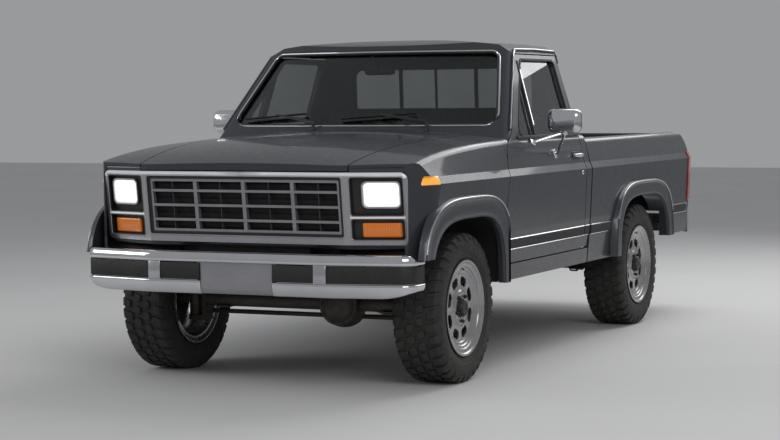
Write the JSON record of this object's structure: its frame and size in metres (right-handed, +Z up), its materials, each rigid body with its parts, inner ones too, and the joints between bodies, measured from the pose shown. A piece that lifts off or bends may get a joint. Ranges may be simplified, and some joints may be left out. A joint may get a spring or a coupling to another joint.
{
  "type": "pickup truck",
  "caption": "Regular-cab pickup truck with a short cargo box, chrome bumpers, steel wheels, and doors, hood, tailgate and steering that move.",
  "frame": {"origin": "on the ground under the middle of the truck's length and width", "axes": "+X to the truck's left, -Y to its front, +Z up"},
  "size_m": [2.392, 4.9, 1.846],
  "materials": {
    "body_paint": "charcoal grey metallic gloss",
    "chassis_black": "satin black",
    "inner_black": "satin black",
    "axle_iron": "rough",
    "engine_iron": "rough",
    "exhaust_steel": "dull",
    "chrome": "bright",
    "black_rubber": "matt",
    "silver_trim": "satin silver grey",
    "lamp_clear": "clear lens",
    "lamp_amber": "amber lens",
    "lamp_red": "red lens",
    "glass": "clear",
    "dash_plastic": "matt",
    "seat_vinyl": "grained",
    "black_plastic": "matt",
    "tyre": "matt",
    "wheel_paint": "grey enamel"
  },
  "bodies": {
    "truck": {"ladder_frame": "chassis_black", "front_axle": "axle_iron", "rear_axle": "axle_iron", "springs_and_arms": "chassis_black", "drivetrain": "engine_iron", "exhaust": "exhaust_steel", "fuel_tank": "chassis_black", "radiator_support": "inner_black", "front_bumper": "chrome", "bumper_strips": "black_rubber", "rear_bumper": "chrome", "grille_surround": "silver_trim", "grille": "silver_trim", "headlamps": "lamp_clear", "amber_lamps": "lamp_amber", "tail_lamps": "lamp_red", "front_fender_left": "body_paint", "front_fender_right": "body_paint", "inner_fenders": "inner_black", "cab_shell": "body_paint", "cab_glass": "glass", "dashboard": "dash_plastic", "seat_cushion": "seat_vinyl", "seat_back": "seat_vinyl", "wipers": "black_plastic", "cargo_floor": "body_paint", "box_side_left": "body_paint", "box_side_right": "body_paint"},
    "hood": {"hood": "body_paint"},
    "tailgate": {"tailgate": "body_paint"},
    "door_left": {"door_left": "body_paint", "door_glass_left": "glass", "door_chrome_left": "chrome"},
    "door_right": {"door_right": "body_paint", "door_glass_right": "glass", "door_chrome_right": "chrome"},
    "steering_wheel": {"steering_wheel": "black_plastic"},
    "knuckle_left": {"knuckle_left": "axle_iron"},
    "knuckle_right": {"knuckle_right": "axle_iron"},
    "tie_rod": {"tie_rod": "axle_iron"},
    "wheel_front_left": {"tyre_front_left": "tyre", "rim_front_left": "wheel_paint"},
    "wheel_front_right": {"tyre_front_right": "tyre", "rim_front_right": "wheel_paint"},
    "wheel_rear_left": {"tyre_rear_left": "tyre", "rim_rear_left": "wheel_paint"},
    "wheel_rear_right": {"tyre_rear_right": "tyre", "rim_rear_right": "wheel_paint"}
  },
  "joints": [
    {"name": "hood_hinge", "type": "hinge", "parent": "truck", "child": "hood", "pos_m": [0, -1.32, 1.225], "axis": [-1, 0, 0], "range_deg": [0, 50]},
    {"name": "tailgate_hinge", "type": "hinge", "parent": "truck", "child": "tailgate", "pos_m": [0, 2.342, 0.706], "axis": [-1, 0, 0], "range_deg": [0, 90]},
    {"name": "door_left_hinge", "type": "hinge", "parent": "truck", "child": "door_left", "pos_m": [0.94, -1.065, 1], "axis": [0, 0, -1], "range_deg": [0, 65]},
    {"name": "door_right_hinge", "type": "hinge", "parent": "truck", "child": "door_right", "pos_m": [-0.94, -1.065, 1], "axis": [0, 0, 1], "range_deg": [0, 65]},
    {"name": "steer_left", "type": "hinge", "parent": "truck", "child": "knuckle_left", "pos_m": [0.7, -1.65, 0.395], "axis": [0, 0, 1], "range_deg": [-28, 28]},
    {"name": "steer_right", "type": "hinge", "parent": "truck", "child": "knuckle_right", "pos_m": [-0.7, -1.65, 0.395], "axis": [0, 0, 1], "range_deg": [-28, 28]},
    {"name": "tie_rod_turn", "type": "hinge", "parent": "knuckle_left", "child": "tie_rod", "pos_m": [0.7, -1.485, 0.32], "axis": [0, 0, 1], "range_deg": [-28, 28]},
    {"name": "steering_wheel_turn", "type": "hinge", "parent": "truck", "child": "steering_wheel", "pos_m": [0.372, -0.59, 1.17], "axis": [0, 0.848, 0.5299], "range_deg": [-420, 420]},
    {"name": "wheel_front_left_spin", "type": "hinge", "parent": "knuckle_left", "child": "wheel_front_left", "pos_m": [0.812, -1.65, 0.395], "axis": [1, 0, 0], "continuous": true},
    {"name": "wheel_front_right_spin", "type": "hinge", "parent": "knuckle_right", "child": "wheel_front_right", "pos_m": [-0.812, -1.65, 0.395], "axis": [1, 0, 0], "continuous": true},
    {"name": "wheel_rear_left_spin", "type": "hinge", "parent": "truck", "child": "wheel_rear_left", "pos_m": [0.812, 1.317, 0.395], "axis": [1, 0, 0], "continuous": true},
    {"name": "wheel_rear_right_spin", "type": "hinge", "parent": "truck", "child": "wheel_rear_right", "pos_m": [-0.812, 1.317, 0.395], "axis": [1, 0, 0], "continuous": true}
  ],
  "couplings": [
    {"joint": "steer_right", "follows": "steer_left", "ratio": 1},
    {"joint": "tie_rod_turn", "follows": "steer_left", "ratio": -1},
    {"joint": "steering_wheel_turn", "follows": "steer_left", "ratio": 15}
  ]
}
